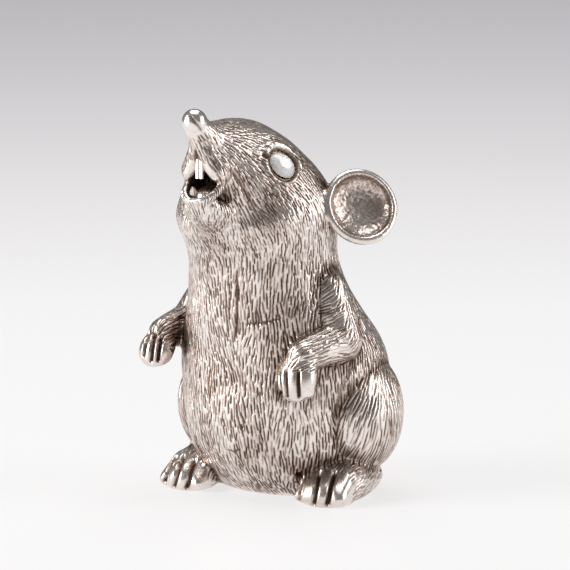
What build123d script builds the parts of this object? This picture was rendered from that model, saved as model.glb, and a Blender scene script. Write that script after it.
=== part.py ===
from build123d import *
import os
from math import cos, radians, sin

# A cast silver mouse that sits up with its head raised and its mouth open.
# The floor is at zero height, the mouse faces -Y and its left side is +X.

# Body
torso_height = 43.5
torso_half_width = 19.2
torso_half_depth = 17.9
neck_half_width = 13.5
neck_half_depth = 13.2
seat_setback = 4.0
neck_lean = 8.0

# Head
head_rise = 24.9
head_reach = 19.9
head_half_width = 13.9
head_half_depth = 13.5
snout_angle = 57

# Casting and soldering
wall = 1.6
solder_gap = 0.05
peg_radius = 0.9
peg_tail = 1.2
overrun = 2.0

sides = {"left": 1, "right": -1}
digit_places = (-1.5, -0.5, 0.5, 1.5)
across = Vector(1, 0, 0)
up = Vector(0, 0, 1)

# Level rings of the torso: height, forward lean, half width and half depth
torso_ring_shares = [
    (0.00, -0.30, 0.74, 0.58),
    (0.07, -0.20, 0.83, 0.79),
    (0.18, -0.04, 0.90, 0.94),
    (0.37, 0.10, 0.965, 0.985),
    (0.55, 0.08, 1.00, 0.995),
    (0.735, 0.455, 0.863, 0.885),
    (0.875, 0.79, 0.757, 0.765),
]

# Rings of the head, from the neck to the nose: reach, rise, pitch, half width and half depth
head_ring_shares = [
    (0.035, 0.11, 0.08, 0.988, 0.987),
    (0.205, 0.443, 0.381, 0.965, 0.98),
    (0.32, 0.545, 0.582, 0.84, 0.87),
    (0.49, 0.667, 0.759, 0.65, 0.74),
    (0.735, 0.785, 0.914, 0.41, 0.51),
    (1.03, 0.965, 1.00, 0.145, 0.155),
]
hollow_rings = 3


def ring_loft(rings):
    """Smooth solid through oval rings, each given by its plane and its two half sizes."""
    with BuildPart() as form:
        for plane, half_width, half_depth in rings:
            with BuildSketch(plane):
                with BuildLine():
                    for start in (45, 135, 225, 315):
                        EllipticalCenterArc((0, 0), half_width, half_depth, start_angle=start, arc_size=90)
                make_face()
        loft()
    return form.part


def level_plane(height, lean):
    """Level plane on the spine, leaning forward from the seat."""
    return Plane(origin=(0, seat_setback - lean, height))


def pitched_plane(reach, rise, pitch):
    """Plane square to the head's spine, with its Y direction towards the back of the head."""
    centre = (0, seat_setback - neck_lean - reach, torso_height + rise)
    tilt = radians(pitch)
    return Plane(origin=centre, x_dir=across, z_dir=(0, -sin(tilt), cos(tilt)))


def neck_ring(growth):
    """Ring where the two castings meet."""
    return (level_plane(torso_height, neck_lean), neck_half_width + growth, neck_half_depth + growth)


def head_rings(growth):
    """Rings of the head above the neck, grown or shrunk all round."""
    return [
        (
            pitched_plane(head_reach * reach, head_rise * rise, snout_angle * pitch),
            head_half_width * width + growth,
            head_half_depth * depth + growth,
        )
        for reach, rise, pitch, width, depth in head_ring_shares
    ]


def head_form(growth):
    """Solid head from the neck to the nose."""
    return ring_loft([neck_ring(growth), *head_rings(growth)])


def body_form(growth, head_ring_count):
    """Solid torso and neck, carried on through a number of the head's rings."""
    torso_rings = [
        (
            level_plane(torso_height * height, neck_lean * lean),
            torso_half_width * width + growth,
            torso_half_depth * depth + growth,
        )
        for height, lean, width, depth in torso_ring_shares
    ]
    return ring_loft([*torso_rings, neck_ring(growth), *head_rings(growth)[:head_ring_count]])


def surface_hit(form, start, direction):
    """Outermost point of a form on a ray, with the outward normal there."""
    ray = Axis(start, direction)
    hits = [hit for face in form.faces() for hit in face.find_intersection_points(ray)]
    return max(hits, key=lambda hit: (hit[0] - start).dot(ray.direction))


def ellipsoid(plane, half_x, half_y, half_z):
    """Round form with three half sizes along a plane's own directions."""
    with BuildPart() as form:
        Sphere(1)
        scale(by=(half_x, half_y, half_z))
    return plane.location * form.part


def tapered_rod(start, end, start_radius, end_radius):
    """Round-ended tapered rod between two points."""
    axis = end - start
    with BuildPart() as form:
        with BuildSketch(Plane(origin=start, z_dir=axis)):
            Circle(start_radius)
        with BuildSketch(Plane(origin=end, z_dir=axis)):
            Circle(end_radius)
        loft(ruled=True)
        with Locations(start):
            Sphere(start_radius)
        with Locations(end):
            Sphere(end_radius)
    return form.part


def seated(form):
    """Form of a limb with the body's seat cut away."""
    with BuildPart() as cut:
        add(form)
        add(body_seat, mode=Mode.SUBTRACT)
    return cut.part


def rod(start, direction, radius, length):
    """Plain round rod from a point."""
    with BuildPart() as form:
        with BuildSketch(Plane(origin=start, z_dir=direction)):
            Circle(radius)
        extrude(amount=length)
    return form.part


def peg_socket(seat, inward):
    """Hole that takes a peg, let in from the surface."""
    return rod(seat - inward * overrun, inward, peg_radius + solder_gap, overrun + peg_reach)


def save(part, name):
    """Label a piece and write it under its own name."""
    part.label = name
    export_step(part, f"parts/{name}.step")


def save_pair(part, name):
    """Write a right-hand piece and its mirror image."""
    save(part, f"right_{name}")
    save(mirror(part, about=Plane.YZ), f"left_{name}")


os.makedirs("parts", exist_ok=True)
neck_plane = level_plane(torso_height, neck_lean)
head_outside = head_form(0)
head_seat = head_form(solder_gap)
body_outside = body_form(0, len(head_ring_shares))
body_seat = body_form(solder_gap, len(head_ring_shares))
body_hollow = body_form(-wall, hollow_rings)
body_lining = body_form(-wall - solder_gap, hollow_rings)
peg_reach = wall + peg_tail


def side_direction(sign, sweep, lift):
    """Level direction out to one side, swept back and lifted."""
    level = cos(radians(lift))
    return Vector(sign * level * cos(radians(sweep)), level * sin(radians(sweep)), sin(radians(lift)))


# Ears: a dished cup on a flattened root, with a peg into the skull
ear_radius = 6.9
ear_depth = 3.4
ear_wall = 1.3
ear_rim_radius = 0.8
ear_root_half_height = 4.6
ear_root_half_width = 2.2
ear_stand_off = 5.0
ear_rise_share = 0.40
ear_sweep_angles = {"left": 11, "right": 17}
ear_lift_angle = -2.5
ear_turn_angle = 52
ear_tip_angle = 20
ear_start = pitched_plane(0, head_rise * ear_rise_share, 0).origin
ear_pegs = {}
for side, sign in sides.items():
    outward = side_direction(sign, ear_sweep_angles[side], ear_lift_angle)
    ear_seat = surface_hit(head_outside, ear_start, outward)[0]
    ear_centre = ear_seat + outward * ear_stand_off
    facing = side_direction(sign, ear_turn_angle - 90, ear_tip_angle)
    ear_back = ear_centre - facing * (ear_depth - ear_wall / 2)
    root_axis = ear_seat - outward * wall - ear_back
    ear_inward = root_axis.normalized()
    ear_pegs[side] = (ear_seat, ear_inward)
    with BuildPart() as ear:
        root_ends = [Plane(point, x_dir=up, z_dir=root_axis) for point in (ear_back, ear_back + root_axis)]
        add(ring_loft([(plane, ear_root_half_height, ear_root_half_width) for plane in root_ends]))
        radial = Plane(ear_centre, z_dir=facing).x_dir
        dish_plane = Plane(ear_centre, x_dir=radial, z_dir=radial.cross(facing))
        ear_lip = ear_radius - ear_rim_radius
        with BuildSketch(dish_plane):
            with BuildLine():
                Spline((0, -ear_depth), (ear_lip, 0), tangents=((1, 0), (0.4, 1)))
                Line((ear_lip, 0), (0, 0))
                Line((0, 0), (0, -ear_depth))
            make_face()
            with Locations((ear_lip, 0)):
                Circle(ear_rim_radius)
        revolve(axis=Axis(ear_centre, facing))
        with BuildSketch(dish_plane):
            with BuildLine():
                Spline((0, ear_wall - ear_depth), (ear_radius - ear_wall, 0), tangents=((1, 0), (0.4, 1)))
                Line((ear_radius - ear_wall, 0), (ear_radius - ear_wall, overrun))
                Line((ear_radius - ear_wall, overrun), (0, overrun))
                Line((0, overrun), (0, ear_wall - ear_depth))
            make_face()
        revolve(axis=Axis(ear_centre, facing), mode=Mode.SUBTRACT)
        add(head_seat, mode=Mode.SUBTRACT)
        add(rod(ear_seat - ear_inward * peg_tail, ear_inward, peg_radius, peg_reach + peg_tail))
    save(ear.part, f"{side}_ear")

# Eyes: a faceted stone in a round collet, let into the head
eye_stone_radius = 2.3
eye_stone_crown = 0.7
eye_stone_girdle = 0.2
eye_stone_pavilion = 1.2
eye_table_share = 0.6
eye_culet_share = 0.15
eye_facets = 12
eye_collet_wall = 0.5
eye_collet_height = 2.0
eye_lid_depth = 0.6
eye_reach_share = 0.397
eye_rise_share = 0.687
eye_lift_angle = 0
eye_collet_radius = eye_stone_radius + solder_gap + eye_collet_wall
eye_start = pitched_plane(head_reach * eye_reach_share, head_rise * eye_rise_share, 0).origin


def eye_stone(plane, growth):
    """Cut stone with its girdle on a plane: a tabled crown above and a pavilion below."""
    radius = eye_stone_radius + growth
    with BuildPart() as stone:
        with BuildSketch(plane):
            RegularPolygon(radius, eye_facets)
        extrude(amount=eye_stone_girdle)
        with BuildSketch(plane.offset(eye_stone_girdle)):
            RegularPolygon(radius, eye_facets)
        with BuildSketch(plane.offset(eye_stone_girdle + eye_stone_crown)):
            RegularPolygon(radius * eye_table_share, eye_facets)
        loft(ruled=True)
        with BuildSketch(plane):
            RegularPolygon(radius, eye_facets)
        with BuildSketch(plane.offset(-eye_stone_pavilion)):
            RegularPolygon(radius * eye_culet_share, eye_facets)
        loft(ruled=True)
    return stone.part


eye_planes = {}
for side, sign in sides.items():
    eye_point, eye_normal = surface_hit(head_outside, eye_start, side_direction(sign, 0, eye_lift_angle))
    eye_planes[side] = Plane(eye_point - eye_normal * eye_lid_depth, x_dir=up, z_dir=eye_normal)
    save(eye_stone(eye_planes[side], 0), f"{side}_eye_stone")
    with BuildPart() as eye_collet:
        with BuildSketch(eye_planes[side].offset(eye_stone_girdle)):
            Circle(eye_collet_radius)
        extrude(amount=-eye_collet_height)
        add(eye_stone(eye_planes[side], solder_gap), mode=Mode.SUBTRACT)
    save(eye_collet.part, f"{side}_eye_collet")

# Nose: a ball on the end of the snout
nose_radius = 2.25
nose_peg_length = 4.0
nose_out_share = 0.71
nose_up_share = -0.46
nose_plane = pitched_plane(head_reach, head_rise, snout_angle)
nose_centre = nose_plane.origin + nose_plane.z_dir * nose_radius * nose_out_share
nose_centre = nose_centre + nose_plane.y_dir * nose_radius * nose_up_share
nose_inward = nose_plane.z_dir * -1
with BuildPart() as nose_tip:
    with Locations(nose_centre):
        Sphere(nose_radius)
    add(head_seat, mode=Mode.SUBTRACT)
    add(rod(nose_centre, nose_inward, peg_radius, nose_peg_length))
save(nose_tip.part, "nose_tip")

# Mouth: a pocket between two whisker pads and a jaw with a rounded lower lip
mouth_half_width = 2.9
mouth_rise = 2.8
mouth_drop = 2.6
mouth_depth = 6.3
mouth_reach_share = 1.045
mouth_rise_share = 0.574
lip_radius = 0.8
lip_setback = 2.8
lip_forward = 1.0
lip_sink_share = 0.7
jaw_half_width = 4.7
jaw_half_length = 6.2
jaw_half_thickness = 2.9
jaw_drop = 5.9
jaw_setback = 4.4
jaw_direction_shares = (0, -0.88, 0.47)
pad_half_length = 2.6
pad_top_radius = 1.8
pad_radius = 2.35
pad_spread = 1.4
pad_lift = 4.1
pad_setback = 1.9
pad_direction_shares = (0.45, 0.30, -0.84)
mouth_centre = pitched_plane(head_reach * mouth_reach_share, head_rise * mouth_rise_share, 0).origin
mouth_plane = Plane(mouth_centre, x_dir=across, z_dir=(0, -1, 0))


def mouth_pocket(growth):
    """Space of the open mouth, between the pads above and the lip below."""
    half_width = mouth_half_width + growth
    rise = mouth_rise + growth
    drop = mouth_drop + growth
    with BuildPart() as pocket:
        with BuildSketch(mouth_plane.offset(overrun)):
            with BuildLine():
                Line((-half_width, 0), (0, rise))
                Line((0, rise), (half_width, 0))
                ThreePointArc((half_width, 0), (0, -drop), (-half_width, 0))
            make_face()
        extrude(amount=-overrun - mouth_depth - growth)
    return pocket.part


# Teeth: two incisors let into the roof of the mouth
tooth_width = 0.75
tooth_thickness = 0.7
tooth_length = 2.1
tooth_root = 1.2
tooth_spacing = 0.82
tooth_setback = 0.6
tooth_round_share = 0.3


def tooth(sign, growth):
    """One incisor with its root, rounded along its length."""
    middle = mouth_plane.from_local_coords((sign * tooth_spacing / 2, mouth_rise / 2, -tooth_setback))
    with BuildPart() as form:
        with BuildSketch(Plane(middle + up * (mouth_rise / 2 + tooth_root), x_dir=across, z_dir=up)):
            RectangleRounded(
                tooth_width + 2 * growth,
                tooth_thickness + 2 * growth,
                tooth_thickness * tooth_round_share,
            )
        extrude(amount=-tooth_length - tooth_root)
    return form.part


with BuildPart() as incisors:
    for sign in sides.values():
        add(tooth(sign, 0))
save(incisors.part, "incisors")

# Tongue: a rounded slab on the floor of the mouth
tongue_half_width = 2.4
tongue_half_length = 3.4
tongue_half_height = 1.9
tongue_setback = 4.0
tongue_centre = mouth_plane.from_local_coords((0, -mouth_drop, -tongue_setback))
with BuildPart() as tongue:
    add(
        ellipsoid(
            Plane(tongue_centre, x_dir=across, z_dir=up),
            tongue_half_width,
            tongue_half_length,
            tongue_half_height,
        )
    )
    add(mouth_pocket(-solder_gap), mode=Mode.INTERSECT)
save(tongue.part, "tongue")

# Head casting
with BuildPart() as head_shell:
    add(head_outside)
    jaw_centre = mouth_plane.from_local_coords((0, -jaw_drop, -jaw_setback))
    jaw_plane = Plane(jaw_centre, x_dir=across, z_dir=jaw_direction_shares)
    add(ellipsoid(jaw_plane, jaw_half_width, jaw_half_thickness, jaw_half_length))
    for sign in sides.values():
        pad_centre = mouth_plane.from_local_coords((sign * pad_spread, pad_lift, -pad_setback))
        pad_out, pad_back, pad_down = pad_direction_shares
        pad_run = Vector(sign * pad_out, pad_back, pad_down) * pad_half_length
        add(tapered_rod(pad_centre - pad_run, pad_centre + pad_run, pad_top_radius, pad_radius))
    with BuildLine() as lip_path:
        lip_corner = mouth_plane.from_local_coords((mouth_half_width, 0, -lip_setback))
        lip_drop = mouth_drop + lip_radius * lip_sink_share
        lip_middle = mouth_plane.from_local_coords((0, -lip_drop, lip_forward))
        lip_other = mouth_plane.from_local_coords((-mouth_half_width, 0, -lip_setback))
        ThreePointArc(lip_corner, lip_middle, lip_other)
    with BuildSketch(Plane(lip_path.line @ 0, z_dir=lip_path.line % 0)):
        Circle(lip_radius)
    sweep(path=lip_path.line)
    add(mouth_pocket(0), mode=Mode.SUBTRACT)
    add(body_hollow, mode=Mode.SUBTRACT)
    for sign in sides.values():
        add(tooth(sign, solder_gap), mode=Mode.SUBTRACT)
    for plane in eye_planes.values():
        add(
            rod(
                (plane.origin + plane.z_dir * overrun),
                plane.z_dir * -1,
                eye_collet_radius + solder_gap,
                overrun + eye_collet_height - eye_stone_girdle + solder_gap,
            ),
            mode=Mode.SUBTRACT,
        )
    for seat, inward in ear_pegs.values():
        add(peg_socket(seat, inward), mode=Mode.SUBTRACT)
    add(
        rod(nose_centre, nose_inward, peg_radius + solder_gap, nose_peg_length + solder_gap),
        mode=Mode.SUBTRACT,
    )
save(head_shell.part, "head_shell")

# Neck sleeve: a ring inside the neck that lines the castings up
sleeve_half_height = 2.2
sleeve_wall = 1.0
sleeve_clearance = 0.25
sleeve_half_width = neck_half_width - wall - sleeve_clearance
sleeve_half_depth = neck_half_depth - wall - sleeve_clearance
with BuildPart() as neck_sleeve:
    with BuildSketch(neck_plane):
        Ellipse(sleeve_half_width, sleeve_half_depth)
        Ellipse(sleeve_half_width - sleeve_wall, sleeve_half_depth - sleeve_wall, mode=Mode.SUBTRACT)
    extrude(amount=sleeve_half_height, both=True)
    add(body_lining, mode=Mode.INTERSECT)
save(neck_sleeve.part, "neck_sleeve")

# Base plate: closes the torso underneath, with a vent hole
plate_thickness = 1.2
vent_radius = 1.0
vent_setback_share = 0.5
with BuildPart() as base_plate:
    add(body_lining)
    split(bisect_by=Plane.XY.offset(plate_thickness), keep=Keep.BOTTOM)
    with Locations((0, seat_setback + torso_half_depth * vent_setback_share, plate_thickness)):
        Hole(vent_radius)
save(base_plate.part, "base_plate")

# Haunches: rounded thighs on the flanks
haunch_half_thickness = 7.6
haunch_half_depth = 10.2
haunch_half_height = 11.3
haunch_height = 15.6
haunch_setback = 1.0
haunch_out_share = 0.75
haunch_lift_angle = 8
haunch_out = -torso_half_width * haunch_out_share
haunch_centre = Vector(haunch_out, seat_setback + haunch_setback, haunch_height)
haunch_plane = Plane(haunch_centre, x_dir=(0, 1, 0), z_dir=side_direction(-1, 0, haunch_lift_angle))
haunch_half_sizes = (haunch_half_depth, haunch_half_height, haunch_half_thickness)
haunch_seat = ellipsoid(haunch_plane, *[half_size + solder_gap for half_size in haunch_half_sizes])
with BuildPart() as haunch:
    add(ellipsoid(haunch_plane, *haunch_half_sizes))
    add(body_seat, mode=Mode.SUBTRACT)
save_pair(haunch.part, "haunch")

# Hind feet: a flat-soled foot with four toes, under each haunch
foot_length = 12.0
foot_half_width = 5.0
foot_half_height = 4.5
foot_heel_spread = 1.0
foot_ball_spread = 0.3
foot_heel_setback = 3.9
toe_radius = 1.6
toe_length = 4.6
toe_drop = 3.3
toe_spacing = 2.1
toe_fan_angle = 6
toe_stagger = 0.25
toe_tip_share = 0.9
foot_ring_shares = [
    (-0.12, 0.36, 0.36, 0.72),
    (0.05, 0.56, 0.64, 0.76),
    (0.45, 0.84, 0.94, 0.80),
    (0.80, 1.00, 0.95, 0.76),
    (1.00, 0.94, 0.80, 0.64),
    (1.10, 0.78, 0.55, 0.44),
]
heel = Vector(haunch_out - foot_heel_spread, seat_setback + foot_heel_setback, 0)
ball = Vector(haunch_out - foot_ball_spread, seat_setback + foot_heel_setback - foot_length, 0)
stride = ball - heel
foot_rings = [
    (
        Plane(heel + stride * along + up * foot_half_height * centre, x_dir=across, z_dir=stride),
        foot_half_width * width,
        foot_half_height * height,
    )
    for along, width, height, centre in foot_ring_shares
]
with BuildPart() as hind_foot:
    add(seated(ring_loft(foot_rings)))
    for place in digit_places:
        toe_direction = Vector(0, -1, 0).rotate(Axis.Z, place * toe_fan_angle)
        toe_foot = ball + Vector(place * toe_spacing, -place * toe_stagger, toe_radius)
        toe_tip = toe_foot + toe_direction * toe_length
        toe_root = toe_foot + up * toe_drop
        add(seated(tapered_rod(toe_root, toe_tip, toe_radius, toe_radius * toe_tip_share)))
    split(bisect_by=Plane.XY, keep=Keep.TOP)
    add(haunch_seat, mode=Mode.SUBTRACT)
save_pair(hind_foot.part, "hind_foot")

# Forelimbs: arms that bend at the elbow, with four-fingered paws, on pegs in the shoulders
shoulder_height_share = 0.87
shoulder_sweep_angles = {"left": 0, "right": 14}
shoulder_sink = 2.4
upper_arm_length = 8.8
forearm_length = 9.0
paw_length = 2.4
shoulder_radius = 4.1
elbow_radius = 4.0
wrist_radius = 2.8
paw_half_width = 3.5
paw_half_thickness = 2.3
paw_half_length = 3.2
finger_radius = 1.05
finger_lengths = {"left": 4.2, "right": 2.8}
finger_spacing = 1.8
finger_bow = 0.35
finger_forward = 1.0
finger_tip_share = 0.9
finger_curl_share = 0.2
arm_direction_shares = {
    "left": [(0.12, -0.05, -0.99), (-0.28, -0.94, -0.21), (-0.10, -0.15, -0.98)],
    "right": [(0.33, -0.22, -0.92), (0.02, -0.99, -0.12), (0.05, -0.55, -0.83)],
}
shoulder_start = level_plane(torso_height * shoulder_height_share, neck_lean * shoulder_height_share).origin
arm_pegs = {}
for side, sign in sides.items():
    outward = side_direction(sign, shoulder_sweep_angles[side], 0)
    shoulder = surface_hit(body_outside, shoulder_start, outward)[0]
    arm_pegs[side] = (shoulder, outward * -1)
    upper, fore, hang = [
        Vector(sign * out, back, rise).normalized() for out, back, rise in arm_direction_shares[side]
    ]
    elbow = shoulder + upper * upper_arm_length
    wrist = elbow + fore * forearm_length
    palm = wrist + hang * paw_length
    knuckles = Vector(0, -1, 0).cross(hang).normalized()
    with BuildPart() as forelimb:
        add(tapered_rod(shoulder - outward * shoulder_sink, elbow, shoulder_radius, elbow_radius))
        add(tapered_rod(elbow, wrist, elbow_radius, wrist_radius))
        palm_plane = Plane(palm, x_dir=knuckles, z_dir=hang)
        add(ellipsoid(palm_plane, paw_half_width, paw_half_thickness, paw_half_length))
        for place in digit_places:
            finger_front = finger_forward - place * place * finger_bow
            finger_root = palm_plane.from_local_coords((place * finger_spacing, finger_front, 0))
            finger_curl = Vector(0, 1, 0) * finger_curl_share
            finger_tip = finger_root + (hang + finger_curl) * finger_lengths[side]
            add(tapered_rod(finger_root, finger_tip, finger_radius, finger_radius * finger_tip_share))
        add(body_seat, mode=Mode.SUBTRACT)
        add(rod(shoulder + outward * peg_tail, outward * -1, peg_radius, peg_reach + peg_tail))
    save(forelimb.part, f"{side}_forelimb")

# Tail: tapered, on a peg low in the back, lying on the floor behind
tail_root_radius = 2.0
tail_tip_radius = 0.7
tail_root_height = 4.0
tail_swing = 13.0
tail_trail = 3.5
tail_ring_count = 7
tail_axis_start = level_plane(tail_root_height, 0).origin
tail_seat = surface_hit(body_outside, tail_axis_start, Vector(0, 1, 0))[0]
tail_peg = (tail_seat, Vector(0, -1, 0))
tail_line = Spline(
    tail_seat - Vector(0, wall, 0),
    tail_seat + Vector(-tail_swing / 4, tail_trail, tail_root_radius - tail_root_height),
    tail_seat + Vector(-tail_swing, tail_trail / 2, tail_tip_radius - tail_root_height),
    tangents=((0, 1, 0), (-1, -1, 0)),
)
tail_rings = []
for step in range(tail_ring_count):
    along = step / (tail_ring_count - 1)
    radius = tail_root_radius + (tail_tip_radius - tail_root_radius) * along
    middle = tail_line @ along
    level = max(middle.Z, radius)
    plane = Plane((middle.X, middle.Y, level), x_dir=up, z_dir=tail_line % along)
    tail_rings.append((plane, radius, radius))
with BuildPart() as tail:
    add(ring_loft(tail_rings))
    add(body_seat, mode=Mode.SUBTRACT)
    add(rod(tail_seat + Vector(0, peg_tail, 0), Vector(0, -1, 0), peg_radius, peg_reach + peg_tail))
save(tail.part, "tail")

# Torso casting, with sockets for the arm and tail pegs
with BuildPart() as torso_shell:
    add(body_outside)
    add(body_hollow, mode=Mode.SUBTRACT)
    split(bisect_by=neck_plane, keep=Keep.BOTTOM)
    for seat, inward in [*arm_pegs.values(), tail_peg]:
        add(peg_socket(seat, inward), mode=Mode.SUBTRACT)
save(torso_shell.part, "torso_shell")
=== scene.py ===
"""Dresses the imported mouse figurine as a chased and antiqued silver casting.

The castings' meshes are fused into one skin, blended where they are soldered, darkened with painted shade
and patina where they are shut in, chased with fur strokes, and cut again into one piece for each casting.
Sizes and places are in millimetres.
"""

from math import cos, pi, radians, sin

import bmesh
import bpy
import numpy as np
from mathutils import Matrix, Vector, noise
from mathutils.bvhtree import BVHTree
from mathutils.kdtree import KDTree


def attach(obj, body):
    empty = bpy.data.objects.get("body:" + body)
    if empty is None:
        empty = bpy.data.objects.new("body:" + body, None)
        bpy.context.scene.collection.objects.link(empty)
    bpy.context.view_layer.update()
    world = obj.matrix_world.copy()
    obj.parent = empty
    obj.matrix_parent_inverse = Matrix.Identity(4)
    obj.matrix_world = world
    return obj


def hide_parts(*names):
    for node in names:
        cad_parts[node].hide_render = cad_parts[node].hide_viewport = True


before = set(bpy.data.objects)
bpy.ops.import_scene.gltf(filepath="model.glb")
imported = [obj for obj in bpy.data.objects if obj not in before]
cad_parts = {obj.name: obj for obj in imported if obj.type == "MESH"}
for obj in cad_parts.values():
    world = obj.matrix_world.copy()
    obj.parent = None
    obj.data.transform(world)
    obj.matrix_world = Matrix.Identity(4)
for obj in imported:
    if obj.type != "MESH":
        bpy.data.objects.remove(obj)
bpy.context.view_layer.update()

MM = 0.001
TINY = 1e-9
chance = np.random.default_rng(7)

# The photograph's camera
PHOTO_SIDE = 570
FOCAL_PIXELS = 2775.0
SENSOR = 36.0
CLIP_START = 0.01
VIEW_TURN = radians(32)
VIEW_RISE = radians(7)
VIEW_DISTANCE = 500.0
AIM = Vector((0, 0, 37))
AIM_PIXEL = (275, 288)
to_camera = Vector((sin(VIEW_TURN) * cos(VIEW_RISE), -cos(VIEW_TURN) * cos(VIEW_RISE), sin(VIEW_RISE)))
to_right = Vector((cos(VIEW_TURN), sin(VIEW_TURN), 0))
to_top = to_camera.cross(to_right)
pixel_size = VIEW_DISTANCE / FOCAL_PIXELS
camera_place = AIM + to_camera * VIEW_DISTANCE
camera_place += to_right * (PHOTO_SIDE / 2 - AIM_PIXEL[0]) * pixel_size
camera_place += to_top * (AIM_PIXEL[1] - PHOTO_SIDE / 2) * pixel_size

# The castings that make up the skin, and the finish of each
FINISHES = {
    "torso_shell": "fur_silver",
    "head_shell": "fur_silver",
    "nose_tip": "polished_silver",
    "left_ear": "plain_silver",
    "right_ear": "plain_silver",
    "left_forelimb": "fur_silver",
    "right_forelimb": "fur_silver",
    "left_haunch": "fur_silver",
    "right_haunch": "fur_silver",
    "left_hind_foot": "fur_silver",
    "right_hind_foot": "fur_silver",
    "tail": "plain_silver",
    "left_eye_collet": "gilt_collet",
    "right_eye_collet": "gilt_collet",
}
# Other nodes that keep their own meshes
CAD_FINISHES = {
    "base_plate": "plain_silver",
    "neck_sleeve": "plain_silver",
    "tongue": "plain_silver",
    "incisors": "plain_silver",
}
SKIN_NODES = list(FINISHES)
LIMBS = [name for name in SKIN_NODES if name.endswith(("forelimb", "haunch", "hind_foot"))]
SIDES = {"left": 1, "right": -1}

# Places on the castings
NOSE = np.array((0, -25.8, 68.4))
MOUTH = np.array((0, -24.8, 57.8))
EYE = np.array((9.25, -11.9, 60.6))
EYE_CORNER = np.array((7.0, -15.5, 62.7))
EAR_CENTRES = {"left": np.array((17.9, -0.4, 52.7)), "right": np.array((-17.6, 0.9, 52.7))}
EAR_FACING = np.array((0.74, -0.58, 0.34))
HIP_TOP = np.array((17.5, 8.0, 27.5))
ARMS = {
    "left": [(14.6, -3.0, 37.8), (15.6, -3.4, 29.1), (13.1, -11.9, 27.2)],
    "right": [(-14.0, 0.5, 37.8), (-16.9, -1.4, 29.7), (-17.1, -10.3, 28.6)],
}
PAW_HANG = {"left": (-0.10, -0.15, -0.98), "right": (-0.05, -0.55, -0.83)}
PAW_LENGTH = 2.4
FOOT_BALL = np.array((14.7, -4.1, 0))
TAIL_ROOT = np.array((0, 18.5, 4))
THROAT = np.array((0, -17.0, 47.0))

# Fillers that round the snout behind the nose: place and radius
SNOUT = [
    ((0, -25.1, 67.7), 2.15),
    ((0, -24.3, 66.9), 2.35),
    ((0, -23.4, 66.0), 2.7),
    ((0, -22.3, 65.0), 3.1),
]
# Fillers that round the backs of the paws and feet
PAW_MOUND_DROPS = {"left": 1.6, "right": 1.0}
PAW_MOUND_FORWARD = 0.5
PAW_MOUND_HALF_SIZES = {"left": (3.8, 2.8, 4.5), "right": (3.6, 2.7, 3.7)}
FOOT_MOUND = np.array((14.7, -5.3, 1.9))
FOOT_MOUND_HALF_SIZES = (4.9, 5.2, 3.5)
FILLER_SUBDIVISIONS = 4

# Skin
VOXEL = 0.32
RIM_HEIGHT = 0.25
EVEN_ROUNDS = 6
EVEN_OUT, EVEN_BACK = 0.5, -0.53
SEAM_ROUNDS, SEAM_SPREAD, SEAM_FADE = 9, 10, 0.80
SMALL_SEAM_SHARE = 0.2
# Painted shade with patina along the limb creases: its spread, fade and darkness
CREASE_SHADE_SPREAD, CREASE_SHADE_FADE, CREASE_SHADE_DARK = 7, 0.80, 0.62
THROAT_ROUNDS, THROAT_REACH, THROAT_CORE_SHARE = 90, 9.0, 0.45
DIGIT_ROUNDS, DIGIT_TARNISH = 44, 0.12
PALM_BLEND = (-2.5, 0.5)
FOOT_BLEND = (-2.0, 0.5)
HAND_WAVE, HAND_HEIGHT = 5.5, 0.16
FLOOR_BLEND = (0.3, 3.0)
SHADE_REACH = 10.0
SHADE_RAYS = 12
SHADE_LEAN = 1.05


# ---------------------------------------------------------------- mesh tools
def node_mesh(name):
    """Corners in millimetres and triangles of a CAD node."""
    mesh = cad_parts[name].data
    mesh.calc_loop_triangles()
    corners = np.empty(len(mesh.vertices) * 3)
    mesh.vertices.foreach_get("co", corners)
    triangles = np.empty(len(mesh.loop_triangles) * 3, np.int32)
    mesh.loop_triangles.foreach_get("vertices", triangles)
    return corners.reshape(-1, 3) / MM, triangles.reshape(-1, 3)


def changed(places, faces, values, modifier, **settings):
    """Places, faces and point values of a mesh after one modifier."""
    mesh = bpy.data.meshes.new("working")
    mesh.from_pydata(places.tolist(), [], faces.tolist())
    for key, value in values.items():
        mesh.attributes.new(key, "FLOAT", "POINT").data.foreach_set("value", value)
    working = bpy.data.objects.new("working", mesh)
    bpy.context.scene.collection.objects.link(working)
    step = working.modifiers.new("step", modifier)
    for key, value in settings.items():
        setattr(step, key, value)
    made = bpy.data.meshes.new_from_object(working.evaluated_get(bpy.context.evaluated_depsgraph_get()))
    bpy.data.objects.remove(working)
    bpy.data.meshes.remove(mesh)
    out = np.empty(len(made.vertices) * 3)
    made.vertices.foreach_get("co", out)
    quads = np.empty(len(made.loops), np.int32)
    made.loops.foreach_get("vertex_index", quads)
    kept = {}
    for key in values:
        kept[key] = np.empty(len(made.vertices), np.float32)
        made.attributes[key].data.foreach_get("value", kept[key])
    bpy.data.meshes.remove(made)
    return out.reshape(-1, 3), quads.reshape(-1, 4), kept


def edges_of(faces, count):
    """Each edge once, as two columns of points."""
    pairs = np.concatenate([faces[:, (k, (k + 1) % 4)] for k in range(4)]).astype(np.int64)
    pairs.sort(axis=1)
    keys = np.unique(pairs[:, 0] * count + pairs[:, 1])
    return keys // count, keys % count


def neighbour_mean(values, edges):
    """Mean of each point's neighbours."""
    a, b = edges
    count = len(values)
    shares = np.bincount(a, minlength=count) + np.bincount(b, minlength=count)
    sums = [np.bincount(a, column[b], count) + np.bincount(b, column[a], count) for column in values.T]
    return np.stack(sums, 1) / np.maximum(shares, 1)[:, None]


def spread_out(values, edges, rounds, fade):
    """Values carried over to the neighbours, weaker with each round."""
    for _ in range(rounds):
        wider = values.copy()
        np.maximum.at(wider, edges[0], values[edges[1]] * fade)
        np.maximum.at(wider, edges[1], values[edges[0]] * fade)
        values = wider
    return values


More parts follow.
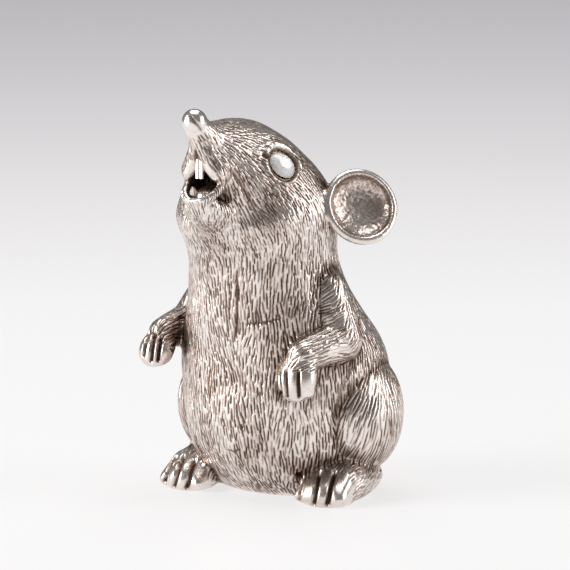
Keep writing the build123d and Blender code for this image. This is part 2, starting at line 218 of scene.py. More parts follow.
def unit(vectors):
    """Vectors at length one."""
    vectors = np.asarray(vectors, float)
    return vectors / np.maximum(np.linalg.norm(vectors, axis=-1, keepdims=True), TINY)


def normals_of(places, faces):
    """Outward normal of each point."""
    a, b, c, d = (places[faces[:, k]] for k in range(4))
    square = np.cross(c - a, d - b)
    columns = [np.bincount(faces.ravel(), np.repeat(column, 4), len(places)) for column in square.T]
    return unit(np.stack(columns, 1))


def smooth_step(low, high, values):
    """Rises smoothly from 0 at low to 1 at high."""
    share = np.clip((values - low) / (high - low), 0, 1)
    return share * share * (3 - 2 * share)


def along_surface(vectors, normals):
    """Part of each vector that lies in the surface, at length one."""
    return unit(vectors - normals * (vectors * normals).sum(-1, keepdims=True))


def mirrored(point, sign):
    """Point on the left, or its mirror image on the right."""
    return np.asarray(point) * (sign, 1, 1)


def is_on(labels, *names):
    """Which points are on the named castings."""
    return np.isin(labels, [SKIN_NODES.index(name) for name in names])


# ---------------------------------------------------------------- fused skin
node_places, node_faces, face_nodes, offset = [], [], [], 0
for index, name in enumerate(SKIN_NODES):
    corners, triangles = node_mesh(name)
    node_places.append(corners)
    node_faces.append(triangles + offset)
    face_nodes.append(np.full(len(triangles), index))
    offset += len(corners)
node_places = np.concatenate(node_places)
node_faces = np.concatenate(node_faces)
face_nodes = np.concatenate(face_nodes)
cad_tree = BVHTree.FromPolygons(node_places.tolist(), node_faces.tolist())


def filler(centre, half_sizes, axes=np.eye(3)):
    """Corners and triangles of a round form with three half sizes along its axes."""
    form = bmesh.new()
    bmesh.ops.create_icosphere(form, subdivisions=FILLER_SUBDIVISIONS, radius=1)
    form.verts.ensure_lookup_table()
    corners = np.array([corner.co for corner in form.verts]) * half_sizes @ np.asarray(axes)
    triangles = np.array([[corner.index for corner in face.verts] for face in form.faces])
    form.free()
    return corners + centre, triangles


def node_at(places):
    """Which casting each place belongs to."""
    return face_nodes[[cad_tree.find_nearest(Vector(place))[2] for place in places]]


def outer_skin(places, faces, nodes):
    """Points of the outer skin, reached from the nose, and the rim of the open base."""
    edges = edges_of(faces, len(places))
    source = np.concatenate(edges)
    target = np.concatenate(edges[::-1])
    order = np.argsort(source, kind="stable")
    source, target = source[order], target[order]
    starts = np.searchsorted(source, np.arange(len(places) + 1))
    rim = (nodes == SKIN_NODES.index("torso_shell")) & (places[:, 2] < RIM_HEIGHT)
    seen = rim.copy()
    front = np.array([places[:, 2].argmax()])
    seen[front] = True
    while len(front):
        counts = starts[front + 1] - starts[front]
        first = np.repeat(starts[front] - np.concatenate([[0], counts.cumsum()[:-1]]), counts)
        found = np.unique(target[first + np.arange(counts.sum())])
        front = found[~seen[found]]
        seen[front] = True
    return seen


# Frames of the paws: middle of the palm, the way it hangs, across the knuckles and ahead
paws = {}
for side in SIDES:
    hang = unit(PAW_HANG[side])
    knuckles = unit(np.cross((0, -1, 0), hang))
    ahead = np.cross(knuckles, hang)
    ahead = ahead if ahead[1] < 0 else -ahead
    paws[side] = (np.array(ARMS[side][-1]) + hang * PAW_LENGTH, hang, knuckles, ahead)

fillers = [filler(centre, (radius, radius, radius)) for centre, radius in SNOUT]
for side, (palm, hang, knuckles, ahead) in paws.items():
    middle = palm + hang * PAW_MOUND_DROPS[side] + ahead * PAW_MOUND_FORWARD
    fillers.append(filler(middle, PAW_MOUND_HALF_SIZES[side], (knuckles, ahead, hang)))
    fillers.append(filler(mirrored(FOOT_MOUND, SIDES[side]), FOOT_MOUND_HALF_SIZES))
fused_places, fused_faces = [node_places], [node_faces]
for corners, triangles in fillers:
    fused_faces.append(triangles + sum(len(part) for part in fused_places))
    fused_places.append(corners)
fused_places = np.concatenate(fused_places)
fused_faces = np.concatenate(fused_faces)
places, faces, _ = changed(fused_places, fused_faces, {}, "REMESH", mode="VOXEL", voxel_size=VOXEL)
nodes = node_at(places)
kept = outer_skin(places, faces, nodes)
faces = faces[kept[faces].all(1)]
used = np.unique(faces)
places, nodes = places[used], nodes[used]
faces = np.searchsorted(used, faces)
edges = edges_of(faces, len(places))

# Voxel ripples are evened out, then the solder lines, the throat and the digits are blended
for _ in range(EVEN_ROUNDS):
    for step in (EVEN_OUT, EVEN_BACK):
        places = places + step * (neighbour_mean(places, edges) - places)
seam = np.zeros(len(places))
crossing = nodes[edges[0]] != nodes[edges[1]]
seam[edges[0][crossing]] = 1
seam[edges[1][crossing]] = 1
# Painted shade with patina, spread out from the creases where the limbs meet the body
crease_shade_and_patina = spread_out(seam * is_on(nodes, *LIMBS), edges, CREASE_SHADE_SPREAD, CREASE_SHADE_FADE)
seam[is_on(nodes, "nose_tip", "left_eye_collet", "right_eye_collet")] *= SMALL_SEAM_SHARE
seam = spread_out(seam, edges, SEAM_SPREAD, SEAM_FADE)
from_throat = np.linalg.norm(places - THROAT, axis=1)
throat = 1 - smooth_step(THROAT_CORE_SHARE * THROAT_REACH, THROAT_REACH, from_throat)
digits = np.zeros(len(places))
for side in SIDES:
    palm, hang = paws[side][:2]
    digits += is_on(nodes, f"{side}_forelimb") * smooth_step(*PALM_BLEND, (places - palm) @ hang)
    digits += is_on(nodes, f"{side}_hind_foot") * smooth_step(*FOOT_BLEND, FOOT_BALL[1] - places[:, 1])
for weights, rounds in ((seam, SEAM_ROUNDS), (throat, THROAT_ROUNDS), (digits, DIGIT_ROUNDS)):
    for _ in range(rounds):
        places = places + EVEN_OUT * weights[:, None] * (neighbour_mean(places, edges) - places)

# The unevenness of a form modelled by hand
normals = normals_of(places, faces)
wave = np.array([noise.noise(Vector(place) / HAND_WAVE) for place in places])
above_floor = smooth_step(*FLOOR_BLEND, places[:, 2])
places = places + normals * (wave * HAND_HEIGHT * above_floor)[:, None]
places[:, 2] = np.maximum(places[:, 2], 0)

# How far each point is shut in by its surroundings, used as painted shade that also stands for patina in
# the hollows
normals = normals_of(places, faces)
skin_tree = BVHTree.FromPolygons(places.tolist(), faces.tolist())
rays = unit(chance.normal(size=(SHADE_RAYS, 3)))
shade_and_patina = np.zeros(len(places), np.float32)
for index, (place, normal) in enumerate(zip(places, normals)):
    start = Vector(place + normal * VOXEL)
    shut = 0.0
    for ray in unit(rays + normal * SHADE_LEAN):
        distance = skin_tree.ray_cast(start, Vector(ray), SHADE_REACH)[3]
        if distance is not None:
            shut += 1 - distance / SHADE_REACH
    shade_and_patina[index] = shut / SHADE_RAYS
# The painted shade takes in the limb creases, and the digits are a little tarnished
shade_and_patina = np.maximum(shade_and_patina, crease_shade_and_patina * CREASE_SHADE_DARK)
shade_and_patina = np.maximum(shade_and_patina, digits * DIGIT_TARNISH).astype(np.float32)
places, faces, values = changed(
    places,
    faces,
    {"shade_and_patina": shade_and_patina},
    "SUBSURF",
    levels=1,
    render_levels=1,
    boundary_smooth="PRESERVE_CORNERS",
)
shade_and_patina = values["shade_and_patina"]
normals = normals_of(places, faces)
face_labels = node_at(places[faces].mean(1))
labels = np.zeros(len(places), int)
labels[faces] = face_labels[:, None]

# ---------------------------------------------------------------- chasing
finder = KDTree(len(places))
for index, place in enumerate(places):
    finder.insert(place, index)
finder.balance()
skin_tree = BVHTree.FromPolygons(places.tolist(), faces.tolist())
height = np.zeros(len(places))
groove = np.zeros(len(places))

LINE_STEPS = 17
CHASE_REACH_SHARE = 2.6
CHASE_FADE_SHARE = 0.2


def near(place, reach):
    """Points of the skin within reach of a place."""
    return np.fromiter((found[1] for found in finder.find_range(place, reach)), int)


def seen_at(pixel):
    """Place on the skin that the camera sees at a pixel of the photograph."""
    across, below = pixel[0] - PHOTO_SIDE / 2, pixel[1] - PHOTO_SIDE / 2
    ray = to_right * across - to_top * below - to_camera * FOCAL_PIXELS
    hit = skin_tree.ray_cast(camera_place, ray.normalized())[0]
    return np.array(hit if hit else skin_tree.find_nearest(AIM)[0])


def drawn(pixels):
    """Places on the skin along a line of pixels."""
    shares = np.linspace(0, len(pixels) - 1, LINE_STEPS)
    columns = [np.interp(shares, range(len(pixels)), values) for values in zip(*pixels)]
    return [seen_at(pixel) for pixel in zip(*columns)]


def reached(point, direction, run):
    """Place on the skin that a ray towards a point meets from outside."""
    direction = unit(direction)
    hit = skin_tree.ray_cast(Vector(point + direction * run), Vector(-direction))[0]
    return np.array(hit) if hit else np.asarray(point)


def chase(line, width, lift, dark=0.0, fade_in=True, fade_out=True):
    """Raise or sink the skin along a line of places, and darken it there."""
    line = [np.asarray(point, float) for point in line]
    lengths = [np.linalg.norm(b - a) for a, b in zip(line, line[1:])]
    total = sum(lengths)
    touched = set()
    run = 0.0
    for a, b, length in zip(line, line[1:], lengths):
        for share in np.linspace(0, 1, max(2, int(length / width) + 2)):
            touched.update(near(a + (b - a) * share, width * CHASE_REACH_SHARE).tolist())
    touched = np.array(sorted(touched), int)
    if not len(touched):
        return
    distance = np.full(len(touched), np.inf)
    place_along = np.zeros(len(touched))
    for a, b, length in zip(line, line[1:], lengths):
        share = np.clip(((places[touched] - a) @ (b - a)) / max(length, TINY) ** 2, 0, 1)
        apart = np.linalg.norm(places[touched] - a - share[:, None] * (b - a), axis=1)
        closer = apart < distance
        distance[closer] = apart[closer]
        place_along[closer] = (run + share * length)[closer] / total
        run += length
    profile = np.exp(-((distance / width) ** 2))
    if fade_in:
        profile = profile * smooth_step(0, CHASE_FADE_SHARE, place_along)
    if fade_out:
        profile = profile * smooth_step(0, CHASE_FADE_SHARE, 1 - place_along)
    height[touched] += lift * profile
    groove[touched] = np.maximum(groove[touched], dark * profile)


# Lines that the photograph shows on the chest, belly, snout, haunch, paws and feet
CHEST_LINE = [(235, 265), (237.5, 288), (236.3, 325), (234, 341), (231, 353)]
CHEST_CREASE = [(242, 325), (262, 323), (285, 318)]
BELLY_CREASE = [(225, 449), (233, 452), (241, 450)]
NAVEL = [(240, 424), (242, 430)]
NOSE_CLEFT = [(189, 114), (196, 123), (203, 133)]
PHILTRUM = [(194, 148), (196, 157), (197, 164)]
PAD_VALLEY = [(213, 143), (224, 161), (235, 175), (241, 185), (255, 209), (258, 219)]
HAUNCH_CREASE = [(364, 360), (350, 372), (341, 390), (335, 412), (333, 432)]
FINGER_GAPS = [
    [(285, 367), (285.5, 384), (286.5, 399)],
    [(298, 367), (298, 384), (299, 398)],
    [(279, 368), (279.5, 382), (281, 394)],
    [(148, 331), (145, 344), (143, 355)],
    [(155, 330), (152.5, 346), (150.6, 361)],
    [(162, 334), (159.5, 349), (158, 361)],
]
THUMB_GAP = [(163, 343), (169, 347), (175, 351)]
TOE_GAPS = [
    [(306, 474), (302, 489), (298, 503)],
    [(320, 469), (316, 487), (313, 505)],
    [(336, 468), (331, 486), (327, 505)],
    [(175, 451), (168, 469), (162, 487)],
    [(185, 452), (178, 470), (173, 488)],
    [(196, 457), (190, 473), (186, 489)],
]
# Each line's pixels, width, lift and darkness
CREASES = [
    (CHEST_LINE, 0.30, -0.22, 0.9),
    (CHEST_CREASE, 0.28, -0.16, 0.7),
    (BELLY_CREASE, 0.28, -0.16, 0.7),
    (NAVEL, 0.35, -0.20, 0.8),
    (NOSE_CLEFT, 0.26, -0.16, 0.7),
    (PHILTRUM, 0.26, -0.22, 0.9),
    (PAD_VALLEY, 0.50, -0.28, 0.6),
    (HAUNCH_CREASE, 0.45, -0.20, 0.5),
]
FINGER_GAP_WIDTH, FINGER_GAP_DEPTH = 0.34, 0.75
TOE_GAP_WIDTH, TOE_GAP_DEPTH = 0.40, 0.85
for pixels, width, lift, dark in CREASES:
    chase(drawn(pixels), width, lift, dark)
for pixels in FINGER_GAPS + [THUMB_GAP]:
    chase(drawn(pixels), FINGER_GAP_WIDTH, -FINGER_GAP_DEPTH, 1.0, fade_out=False)
for pixels in TOE_GAPS:
    chase(drawn(pixels), TOE_GAP_WIDTH, -TOE_GAP_DEPTH, 1.0, fade_out=False)

# Eyes: a sunk ring round the stone, a front corner, and lids above and below.
# Each arc has its start and end in degrees from the front corner, its reach and its flatness
EYE_RING = (0, 360, 2.95, 1.0)
EYE_RING_WIDTH, EYE_RING_DEPTH, EYE_RING_DARK = 0.42, 0.30, 0.8
CORNER_REACHES = (2.8, 3.4, 4.0, 4.7)
CORNER_WIDTH, CORNER_DEPTH = 0.62, 0.50
UPPER_LID = (8, 170, 4.15, 0.95)
UPPER_LID_WIDTH, UPPER_LID_LIFT = 0.55, 0.36
LOWER_LID = (-12, -150, 4.0, 0.92)
LOWER_LID_WIDTH, LOWER_LID_LIFT = 0.50, 0.22
EYE_ARC_STEPS = 25
EYE_RUN = 3.0
COLLET_TARNISH = 0.50
COLLET_SINK = 0.35


def round_eye(eye, start, end, reach, flatness):
    """Places on an arc round an eye, from its front corner upwards."""
    centre, outward, forward, lid_up = eye
    turns = np.radians(np.linspace(start, end, EYE_ARC_STEPS))
    spokes = [forward * cos(turn) + lid_up * sin(turn) * flatness for turn in turns]
    return [reached(centre + spoke * reach, outward, EYE_RUN) for spoke in spokes]


eyes = {}
for side, sign in SIDES.items():
    stone = node_mesh(f"{side}_eye_stone")[0]
    centre = stone.mean(0)
    outward = np.linalg.svd(stone - centre)[2][2]
    outward = outward * np.sign(outward[0] * sign)
    forward = along_surface(mirrored(EYE_CORNER, sign) - centre, outward)
    lid_up = np.cross(outward, forward)
    lid_up = lid_up if lid_up[2] > 0 else -lid_up
    eye = eyes[side] = (centre, outward, forward, lid_up)
    ring = round_eye(eye, *EYE_RING)
    chase(ring, EYE_RING_WIDTH, -EYE_RING_DEPTH, EYE_RING_DARK, fade_in=False, fade_out=False)
    corner = [reached(centre + forward * reach, outward, EYE_RUN) for reach in CORNER_REACHES]
    chase(corner, CORNER_WIDTH, -CORNER_DEPTH, 1.0)
    chase(round_eye(eye, *UPPER_LID), UPPER_LID_WIDTH, UPPER_LID_LIFT)
    chase(round_eye(eye, *LOWER_LID), LOWER_LID_WIDTH, LOWER_LID_LIFT)

on_collet = is_on(labels, "left_eye_collet", "right_eye_collet")
groove = np.maximum(groove, COLLET_TARNISH * on_collet)
height -= COLLET_SINK * on_collet

# Ears: the dish is stippled, its rim stays smooth
DISH_RADIUS = 5.7
DISH_FACING_SHARE = 0.15
PIT_COUNT = 900
PIT_REACH, PIT_WIDTH, PIT_DEPTH, PIT_TARNISH = 0.55, 0.2, 0.035, 0.75
for side, sign in SIDES.items():
    facing = unit(mirrored(EAR_FACING, sign))
    inside = is_on(labels, f"{side}_ear") & (normals @ facing > DISH_FACING_SHARE)
    from_middle = places - EAR_CENTRES[side]
    flat = from_middle - (from_middle @ facing)[:, None] * facing
    inside &= np.linalg.norm(flat, axis=1) < DISH_RADIUS
    pits = np.flatnonzero(inside)
    for index in chance.choice(pits, min(len(pits), PIT_COUNT), replace=False):
        touched = near(places[index], PIT_REACH)
        apart = np.linalg.norm(places[touched] - places[index], axis=1)
        profile = np.exp(-((apart / PIT_WIDTH) ** 2))
        height[touched] -= PIT_DEPTH * profile
        groove[touched] = np.maximum(groove[touched], PIT_TARNISH * profile)

# Tail: fine rings
TAIL_RING_SPACING = 0.75
TAIL_RING_SHARPNESS = 8
TAIL_RING_DEPTH, TAIL_RING_TARNISH = 0.09, 0.8
TAIL_PLAIN_HEIGHT = 0.3
tail = is_on(labels, "tail")
tail_run = np.linalg.norm((places - TAIL_ROOT)[:, :2], axis=1)
ring = np.cos(tail_run * pi / TAIL_RING_SPACING) ** TAIL_RING_SHARPNESS
ring = ring * tail * (places[:, 2] > TAIL_PLAIN_HEIGHT)
height -= TAIL_RING_DEPTH * ring
groove = np.maximum(groove, TAIL_RING_TARNISH * ring)

# ---------------------------------------------------------------- fur strokes
# Spacing, length, half width and depth of the strokes on each kind of casting
FUR = {
    "torso_shell": (0.50, 2.9, 0.165, 0.19),
    "head_shell": (0.43, 2.0, 0.145, 0.15),
    "haunch": (0.52, 4.6, 0.165, 0.19),
    "forelimb": (0.47, 3.0, 0.155, 0.17),
    "hind_foot": (0.46, 2.2, 0.15, 0.13),
}
LENGTH_SHARES = (0.7, 1.3)
DEPTH_SHARES = (0.35, 1.2)
RUN_SHARE = 0.60
TAPER_SHARES = (0.22, 0.52)
STROKE_LEVEL = 0.9
FULL_TARNISH_DEPTH = 0.16
SWAY_WAVE = 6.0
SWAY_OFFSET = Vector((40, 0, 0))
SWAY_TURN = 0.40
STRAY_TURN = 0.09
# Where the fur stops
EYE_CLEAR, MOUTH_CLEAR, NOSE_CLEAR = 3.9, 3.9, 3.2
DIGIT_CLEAR = 0.4
HEM_HEIGHT, HEM_TILT = 0.7, -0.5
DEEP_HOLLOW = 0.6
# The way it lies
DOWN = np.array((0, 0, -1.0))
HEAD_FALL = DOWN + np.array((0, 0.25, 0))
HEAD_SETTLE = (13, 30)
HAUNCH_FALL = DOWN * 0.35
FOOT_FLOW = (0, -1, -0.3)
ELBOW_BLEND = (-2.5, 2.5)

styles = np.zeros((len(SKIN_NODES), 4))
for index, name in enumerate(SKIN_NODES):
    for kind, style in FUR.items():
        if name.endswith(kind):
            styles[index] = style

flow = np.tile(DOWN, (len(places), 1))
on_head = is_on(labels, "head_shell")
from_nose = places - NOSE
settle = smooth_step(*HEAD_SETTLE, np.linalg.norm(from_nose, axis=1))[:, None]
head_flow = unit(from_nose) * (1 - settle) + HEAD_FALL * settle
flow[on_head] = head_flow[on_head]
fur = styles[labels][:, 0] > 0
for side, sign in SIDES.items():
    on_haunch = is_on(labels, f"{side}_haunch")
    flow[on_haunch] = unit(places - mirrored(HIP_TOP, sign))[on_haunch] + HAUNCH_FALL
    on_foot = is_on(labels, f"{side}_hind_foot")
    flow[on_foot] = FOOT_FLOW
    fur &= ~(on_foot & (places[:, 1] < FOOT_BALL[1] - DIGIT_CLEAR))
    on_arm = is_on(labels, f"{side}_forelimb")
    shoulder, elbow, wrist = (np.array(point) for point in ARMS[side])
    bend = smooth_step(*ELBOW_BLEND, (places - elbow) @ unit(wrist - elbow))[:, None]
    flow[on_arm] = (unit(elbow - shoulder) * (1 - bend) + unit(wrist - elbow) * bend)[on_arm]
    palm, hang = paws[side][:2]
    fur &= ~(on_arm & ((places - palm) @ hang > -DIGIT_CLEAR))
    fur &= np.linalg.norm(places - mirrored(EYE, sign), axis=1) > EYE_CLEAR
fur &= np.linalg.norm(places - MOUTH, axis=1) > MOUTH_CLEAR
fur &= np.linalg.norm(places - NOSE, axis=1) > NOSE_CLEAR
fur &= (places[:, 2] > HEM_HEIGHT) | (normals[:, 2] > HEM_TILT)
fur &= shade_and_patina < DEEP_HOLLOW
sway = np.array([noise.noise(Vector(point) / SWAY_WAVE + SWAY_OFFSET) for point in places])
flow = along_surface(flow, normals)
aside = np.cross(normals, flow)
turn = (sway * SWAY_TURN + chance.normal(0, STRAY_TURN, len(places)))[:, None]
flow = unit(flow * np.cos(turn) + aside * np.sin(turn))

taken = ~fur
cut = np.zeros(len(places))
for index in chance.permutation(len(places)):
    if taken[index]:
        continue
    spacing, length, half_width, depth = styles[labels[index]]
    length *= chance.uniform(*LENGTH_SHARES)
    depth *= chance.uniform(*DEPTH_SHARES)
    along = flow[index]
    beside = np.cross(normals[index], along)
    touched = near(places[index], length * RUN_SHARE)
    apart = places[touched] - places[index]
    run, side_step, lift = apart @ along, apart @ beside, apart @ normals[index]
    level = np.abs(lift) < STROKE_LEVEL
    block = (run / (length * RUN_SHARE)) ** 2 + (side_step / spacing) ** 2 < 1
    taken[touched[block & level]] = True
    taper = 1 - smooth_step(*TAPER_SHARES, np.abs(run) / length)
    profile = np.exp(-((side_step / half_width) ** 2)) * taper * level
    cut[touched] = np.maximum(cut[touched], depth * profile)
    groove[touched] = np.maximum(groove[touched], profile * min(1.0, depth / FULL_TARNISH_DEPTH))
places = places + normals * (height - cut)[:, None]
places[:, 2] = np.maximum(places[:, 2], 0)
normals = normals_of(places, faces)

# ---------------------------------------------------------------- materials
SILVER_STOPS = [
    (0.0, (0.88, 0.815, 0.775)),
    (0.28, (0.60, 0.51, 0.46)),
    (0.60, (0.21, 0.15, 0.118)),
    (1.0, (0.05, 0.032, 0.024)),
]
EAR_STOPS = [
    (0.0, (0.84, 0.77, 0.725)),
    (0.28, (0.52, 0.425, 0.37)),
    (0.60, (0.21, 0.145, 0.11)),
    (1.0, (0.06, 0.038, 0.028)),
]
GILT_STOPS = [
    (0.0, (0.74, 0.60, 0.44)),
    (0.3, (0.42, 0.30, 0.19)),
    (0.6, (0.16, 0.105, 0.065)),
    (1.0, (0.05, 0.03, 0.02)),
]
STONE_STOPS = [(0.3, (0.88, 0.86, 0.84)), (0.7, (0.99, 0.98, 0.97))]
TARNISH_CLOUD = {"Scale": 95.0, "Detail": 6.0, "Roughness": 0.66}
TARNISH_SPECK = {"Scale": 2600.0, "Detail": 3.0, "Roughness": 0.6}
STONE_CLOUD = {"Scale": 420.0, "Detail": 4.0}
NOISE_MEAN = 0.5
SPECK_SHARE = 0.35
TARNISH_ROUGHNESS = 0.28
SPECK_ROUGHNESS = 0.5
GRAIN_HEIGHT = 0.00006
STONE_ROUGHNESS = 0.16
STONE_IOR = 1.75
STONE_CLEARNESS = 0.1
STONE_COAT = 0.5


def shader(name):
    """New material, its node tree and its shader."""
    material = bpy.data.materials.new(name)
    material.use_nodes = True
    tree = material.node_tree
    return material, tree, tree.nodes["Principled BSDF"]


def add_node(tree, kind, links=(), **settings):
    """Node with its settings, and its inputs linked or set."""
    made = tree.nodes.new(kind)
    for key, value in settings.items():
        setattr(made, key, value)
    for key, value in dict(links).items():
        if isinstance(value, bpy.types.NodeSocket):
            tree.links.new(value, made.inputs[key])
        else:
            made.inputs[key].default_value = value
    return made


def maths(tree, operation, first, second, clamp=False):
    """Result of a sum on two sockets or numbers."""
    made = add_node(tree, "ShaderNodeMath", {0: first, 1: second}, operation=operation, use_clamp=clamp)
    return made.outputs[0]


def clouds(tree, settings):
    """Noise over the object's own coordinates."""
    coordinates = add_node(tree, "ShaderNodeTexCoord").outputs["Object"]
    return add_node(tree, "ShaderNodeTexNoise", {"Vector": coordinates, **settings}).outputs[0]


def ramp(tree, factor, stops):
    """Colour ramp through the given stops."""
    made = add_node(tree, "ShaderNodeValToRGB", {"Fac": factor})
    elements = made.color_ramp.elements
    while len(elements) < len(stops):
        elements.new(0.5)
    for element, (position, colour) in zip(elements, stops):
        element.position = position
        element.color = (*colour, 1)
    return made.outputs["Color"]


def silver(name, stops, roughness, groove_share, shade_and_patina_share, cloud_share, grain=0.2):
    """Silver that is bright where it is rubbed, tarnished dark where it is sunk, and darker with painted
    shade and patina where it is shut in.
    """
    material, tree, surface = shader(name)
    cloud = clouds(tree, TARNISH_CLOUD)
    speck = clouds(tree, TARNISH_SPECK)
    sunk = add_node(tree, "ShaderNodeAttribute", attribute_name="groove").outputs["Fac"]
    shut = add_node(tree, "ShaderNodeAttribute", attribute_name="shade_and_patina").outputs["Fac"]
    uneven = maths(tree, "MULTIPLY", maths(tree, "SUBTRACT", cloud, NOISE_MEAN), cloud_share)
    fine = maths(tree, "MULTIPLY", maths(tree, "SUBTRACT", speck, NOISE_MEAN), SPECK_SHARE)
    dark = maths(tree, "MULTIPLY", sunk, groove_share)
    # Painted shade with patina, where the skin is shut in
    dark = maths(tree, "ADD", dark, maths(tree, "MULTIPLY", shut, shade_and_patina_share))
    dark = maths(tree, "ADD", dark, uneven)
    tarnish_and_shade = maths(tree, "ADD", dark, fine, clamp=True)
    tree.links.new(ramp(tree, tarnish_and_shade, stops), surface.inputs["Base Color"])
    dulled = maths(tree, "MULTIPLY", tarnish_and_shade, TARNISH_ROUGHNESS)
    rough = maths(tree, "ADD", dulled, maths(tree, "MULTIPLY", fine, SPECK_ROUGHNESS))
    tree.links.new(maths(tree, "ADD", rough, roughness, clamp=True), surface.inputs["Roughness"])
    surface.inputs["Metallic"].default_value = 1.0
    bump = add_node(tree, "ShaderNodeBump", {"Height": speck, "Strength": grain, "Distance": GRAIN_HEIGHT})
    tree.links.new(bump.outputs["Normal"], surface.inputs["Normal"])
    return material


def clear_stone():
    """Pale cut stone with faint clouds."""
    material, tree, surface = shader("clear_stone")
    cloud = clouds(tree, STONE_CLOUD)
    tree.links.new(ramp(tree, cloud, STONE_STOPS), surface.inputs["Base Color"])
    tree.links.new(maths(tree, "MULTIPLY", cloud, STONE_ROUGHNESS), surface.inputs["Roughness"])
    surface.inputs["IOR"].default_value = STONE_IOR
    surface.inputs["Transmission Weight"].default_value = STONE_CLEARNESS
    surface.inputs["Coat Weight"].default_value = STONE_COAT
    return material


# Stops, roughness, and the shares of grooves, of painted shade and patina where shut in, and of clouds in
# the darkening
SILVERS = {
    "fur_silver": (SILVER_STOPS, 0.26, 0.92, 1.05, 1.15),
    # The limbs take a smaller share of painted shade than the body
    "limb_silver": (SILVER_STOPS, 0.26, 0.80, 0.42, 0.80),
    "plain_silver": (EAR_STOPS, 0.28, 0.45, 0.50, 0.60),
    "polished_silver": (SILVER_STOPS, 0.22, 0.80, 0.60, 0.35, 0.1),
    "gilt_collet": (GILT_STOPS, 0.28, 0.80, 0.80, 0.60),
}
materials = {name: silver(name, *settings) for name, settings in SILVERS.items()}
materials["clear_stone"] = clear_stone()

# ---------------------------------------------------------------- pieces
for index, name in enumerate(SKIN_NODES):
    own = faces[face_labels == index]
    points, flat = np.unique(own, return_inverse=True)
    mesh = bpy.data.meshes.new(f"{name}_skin")
    mesh.from_pydata((places[points] * MM).tolist(), [], flat.reshape(-1, 4).tolist())
    mesh.polygons.foreach_set("use_smooth", np.ones(len(own), bool))
    # The grooves carry patina; the other attribute carries painted shade with patina where the skin is
    # shut in
    for key, value in (("groove", groove), ("shade_and_patina", shade_and_patina)):
        layer = mesh.attributes.new(key, "FLOAT", "POINT")
        layer.data.foreach_set("value", value[points].astype(np.float32))
    mesh.normals_split_custom_set_from_vertices(normals[points].tolist())
    mesh.materials.append(materials["limb_silver" if name in LIMBS else FINISHES[name]])
    piece = bpy.data.objects.new(f"{name}_skin", mesh)
    bpy.context.scene.collection.objects.link(piece)
    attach(piece, "root")
    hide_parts(name)

for name, finish in CAD_FINISHES.items():
    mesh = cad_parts[name].data
    mesh.materials.clear()
    mesh.materials.append(materials[finish])

# Eye stones: a table, two rows of crown facets and a pavilion.
# Each row has its shares of the radius and of the crown's height, and of a step that it is turned
STONE_LENGTH, STONE_WIDTH = 2.75, 2.35
STONE_CROWN = 1.05
STONE_LIFT = 0.30
STONE_PAVILION = 1.1
STONE_SIDES = 16
STONE_ROW_SHARES = [(1.0, 0.0, 0.0), (0.80, 0.55, 0.5), (0.46, 1.0, 0.0)]
for side, (centre, outward, forward, lid_up) in eyes.items():
    centre = centre + outward * STONE_LIFT
    corners, facets = [centre - outward * STONE_PAVILION], []
    for reach, rise, shift in STONE_ROW_SHARES:
        for step in range(STONE_SIDES):
            turn = 2 * pi * (step + shift) / STONE_SIDES
            spoke = forward * cos(turn) * STONE_LENGTH + lid_up * sin(turn) * STONE_WIDTH
            corners.append(centre + spoke * reach + outward * STONE_CROWN * rise)
    low, mid, top = (1 + row * STONE_SIDES for row in range(3))
    for step in range(STONE_SIDES):
        after = (step + 1) % STONE_SIDES
        facets.append((0, low + after, low + step))
        facets.append((low + step, low + after, mid + step))
        facets.append((low + after, mid + after, mid + step))
        facets.append((mid + step, top + after, top + step))
        facets.append((mid + step, mid + after, top + after))
    facets.append([top + step for step in range(STONE_SIDES)])
    mesh = bpy.data.meshes.new(f"{side}_eye_stone_cut")
    mesh.from_pydata((np.array(corners) * MM).tolist(), [], facets)
    if np.dot(outward, np.cross(forward, lid_up)) < 0:
        mesh.flip_normals()
    mesh.materials.append(materials["clear_stone"])
    stone = bpy.data.objects.new(f"{side}_eye_stone_cut", mesh)
    bpy.context.scene.collection.objects.link(stone)
    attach(stone, "root")
    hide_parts(f"{side}_eye_stone")

# ---------------------------------------------------------------- floor, light and camera
FLOOR_RADIUS = 6000.0
FLOOR_SIDES = 128
FLOOR_COLOUR = (0.84, 0.84, 0.84, 1)
FLOOR_ROUGHNESS = 0.45
FLOOR_SHINE = 0.25
FLOOR_NEAR = 0.5
FLOOR_GLOW = 0.70
# Painted pool of light on the floor, from pale near the figurine to grey far away
FLOOR_STOPS = [
    (0.33, (1.00, 0.99, 0.99)),
    (0.54, (0.94, 0.92, 0.93)),
    (0.70, (0.84, 0.82, 0.84)),
    (0.90, (0.64, 0.62, 0.65)),
]
rim = []
for step in range(FLOOR_SIDES):
    turn = 2 * pi * step / FLOOR_SIDES
    rim.append((FLOOR_RADIUS * MM * cos(turn), FLOOR_RADIUS * MM * sin(turn), 0))
floor_mesh = bpy.data.meshes.new("floor")
floor_mesh.from_pydata(rim, [], [range(FLOOR_SIDES)])
floor = bpy.data.objects.new("floor", floor_mesh)
bpy.context.scene.collection.objects.link(floor)
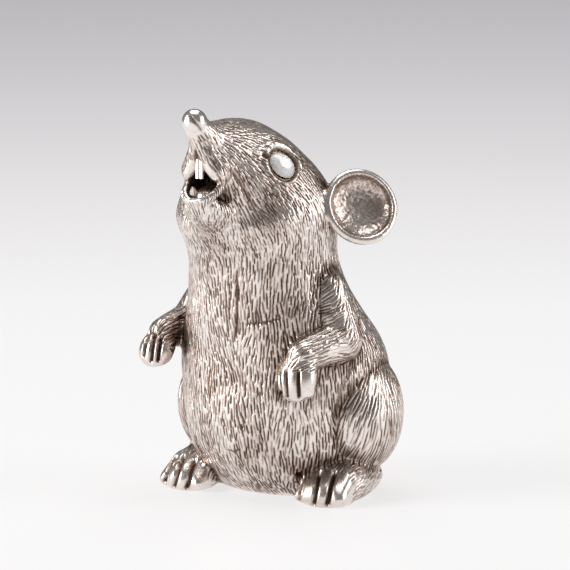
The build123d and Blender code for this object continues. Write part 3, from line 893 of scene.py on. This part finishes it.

# The floor glows with a painted pool of light: pale round the figurine, falling off to grey far away
material, tree, surface = shader("floor")
surface.inputs["Base Color"].default_value = FLOOR_COLOUR
surface.inputs["Roughness"].default_value = FLOOR_ROUGHNESS
surface.inputs["Specular IOR Level"].default_value = FLOOR_SHINE
place_on = add_node(tree, "ShaderNodeTexCoord").outputs["Object"]
away = add_node(tree, "ShaderNodeVectorMath", {0: place_on}, operation="LENGTH").outputs["Value"]
nearness = maths(tree, "DIVIDE", FLOOR_NEAR, maths(tree, "ADD", away, FLOOR_NEAR))
glow = ramp(tree, maths(tree, "SUBTRACT", 1.0, nearness), FLOOR_STOPS)
path = add_node(tree, "ShaderNodeLightPath")
direct = maths(tree, "MAXIMUM", path.outputs["Is Camera Ray"], path.outputs["Is Glossy Ray"])
direct = maths(tree, "MAXIMUM", direct, path.outputs["Is Transmission Ray"])
share = maths(tree, "MULTIPLY", direct, FLOOR_GLOW)
lit = add_node(tree, "ShaderNodeEmission", {"Color": glow})
mixed = add_node(tree, "ShaderNodeMixShader", {0: share, 1: surface.outputs[0], 2: lit.outputs[0]})
tree.links.new(mixed.outputs[0], tree.nodes["Material Output"].inputs["Surface"])
floor_mesh.materials.append(material)

# Soft lights: how far right of the figurine, towards the camera and up, width, depth and brightness
LIGHTS = {
    "key": (-740, 210, 260, 460, 560, 8.2),
    "fill": (720, 90, 260, 380, 600, 3.2),
    "top": (0, -120, 760, 560, 560, 3.2),
}
for name, (right, ahead, up, width, depth, brightness) in LIGHTS.items():
    lamp = bpy.data.lights.new(name, "AREA")
    lamp.shape = "RECTANGLE"
    lamp.size = width * MM
    lamp.size_y = depth * MM
    lamp.energy = brightness * pi * lamp.size * lamp.size_y
    holder = bpy.data.objects.new(name, lamp)
    holder.visible_camera = False
    holder.location = (to_right * right + to_camera * ahead + Vector((0, 0, up))) * MM
    holder.rotation_euler = (AIM * MM - holder.location).to_track_quat("-Z", "Y").to_euler()
    bpy.context.scene.collection.objects.link(holder)

WORLD_COLOUR = (0.60, 0.58, 0.57, 1)
WORLD_STRENGTH = 0.34
world = bpy.data.worlds.new("studio")
bpy.context.scene.world = world
world.use_nodes = True
background = world.node_tree.nodes["Background"]
background.inputs["Color"].default_value = WORLD_COLOUR
background.inputs["Strength"].default_value = WORLD_STRENGTH

camera_data = bpy.data.cameras.new("camera")
camera_data.sensor_width = SENSOR
camera_data.lens = FOCAL_PIXELS / PHOTO_SIDE * SENSOR
camera_data.clip_start = CLIP_START
camera = bpy.data.objects.new("camera", camera_data)
turned = Matrix((to_right, to_top, to_camera)).transposed().to_4x4()
camera.matrix_world = Matrix.Translation(camera_place * MM) @ turned
bpy.context.scene.collection.objects.link(camera)
bpy.context.scene.camera = camera
bpy.context.scene.view_settings.view_transform = "Standard"
